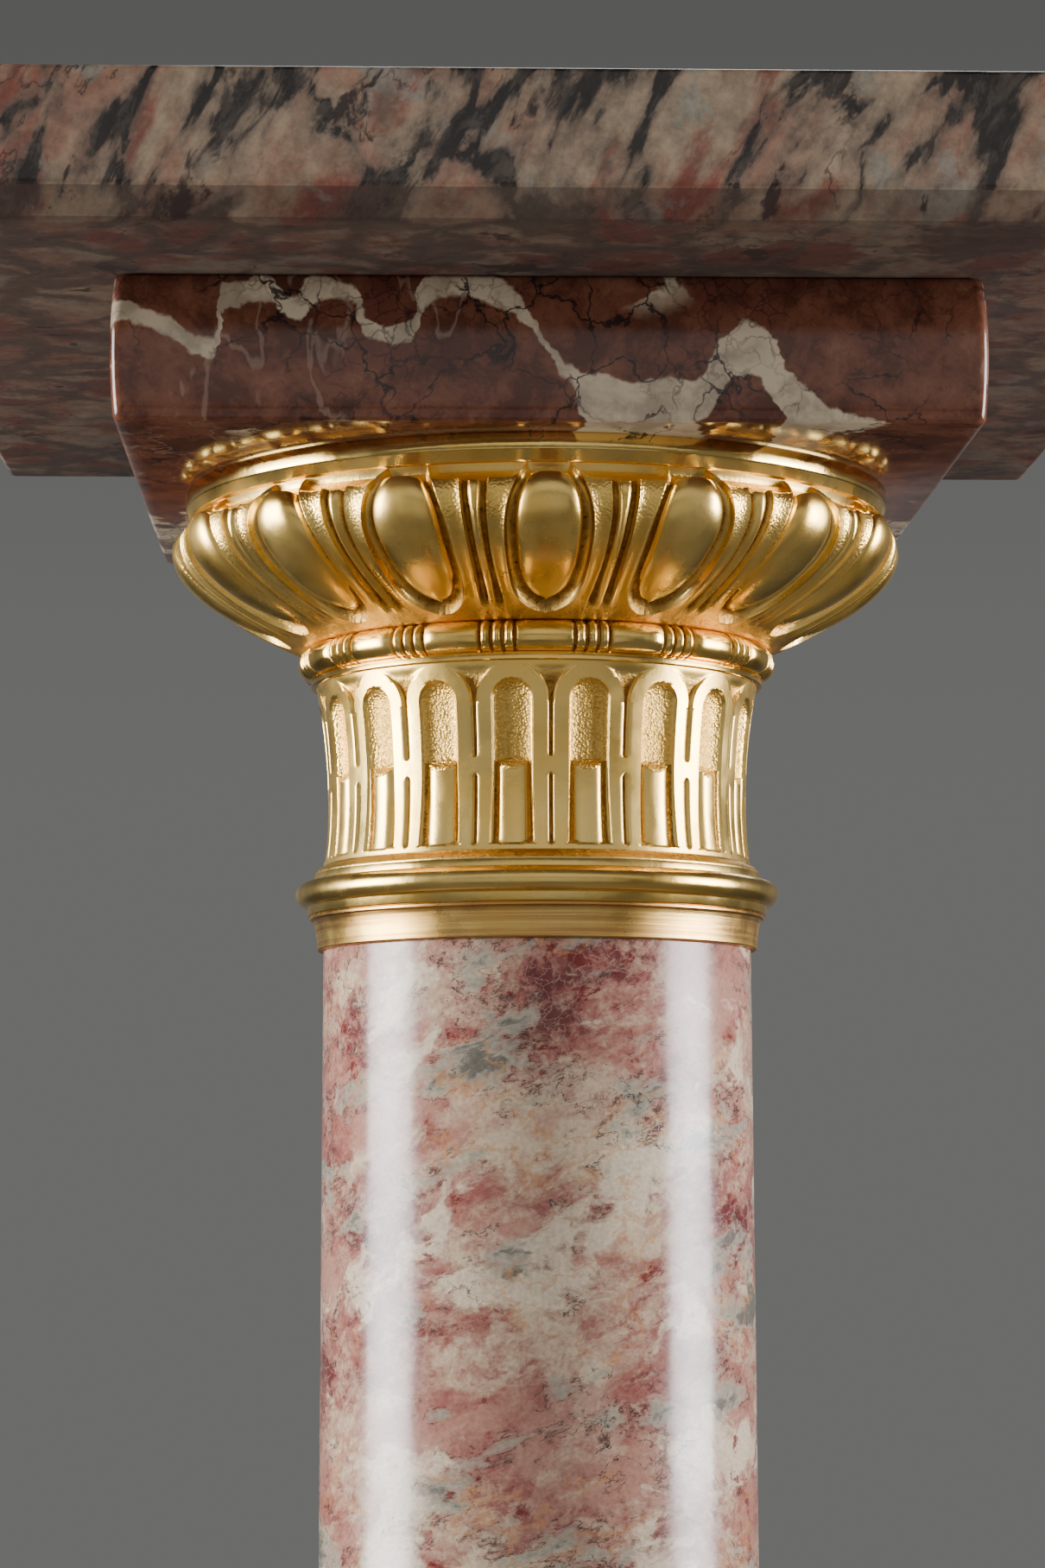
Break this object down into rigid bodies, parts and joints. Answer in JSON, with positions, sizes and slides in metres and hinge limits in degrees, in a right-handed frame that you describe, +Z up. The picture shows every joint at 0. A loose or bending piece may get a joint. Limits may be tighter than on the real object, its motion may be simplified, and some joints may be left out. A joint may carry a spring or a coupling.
{
  "type": "marble pedestal column",
  "caption": "Pedestal column: polished marble shaft with gilt bronze egg-and-dart capital, fluted neck and plain base, between square marble slabs; carries a bust, vase or lamp.",
  "frame": {"origin": "middle of the underside of the plinth slab, on the floor", "axes": "+Z up along the shaft; -Y is the front in the picture and +X is to its right; the slabs' sides are parallel to X and Y"},
  "size_m": [0.34, 0.34, 1.1435],
  "materials": {
    "cream_marble": "polished cream and pink marble with dark veins",
    "red_marble": "polished red-brown marble with cream veins",
    "shaft_marble": "high-gloss cream, pink and raspberry marble",
    "gilt_bronze": "burnished gilding with brown patina in the hollows",
    "brushed_gilt_bronze": "gilding with fine turning lines"
  },
  "bodies": {
    "root": {"plinth_slab": "cream_marble", "plinth_block": "red_marble", "base_mouldings": "gilt_bronze", "base_collar": "brushed_gilt_bronze", "shaft": "shaft_marble", "capital_collar": "brushed_gilt_bronze", "capital_neck": "gilt_bronze", "capital_astragal": "gilt_bronze", "capital_echinus": "gilt_bronze", "abacus_block": "red_marble", "top_slab": "cream_marble"}
  },
  "joints": []
}
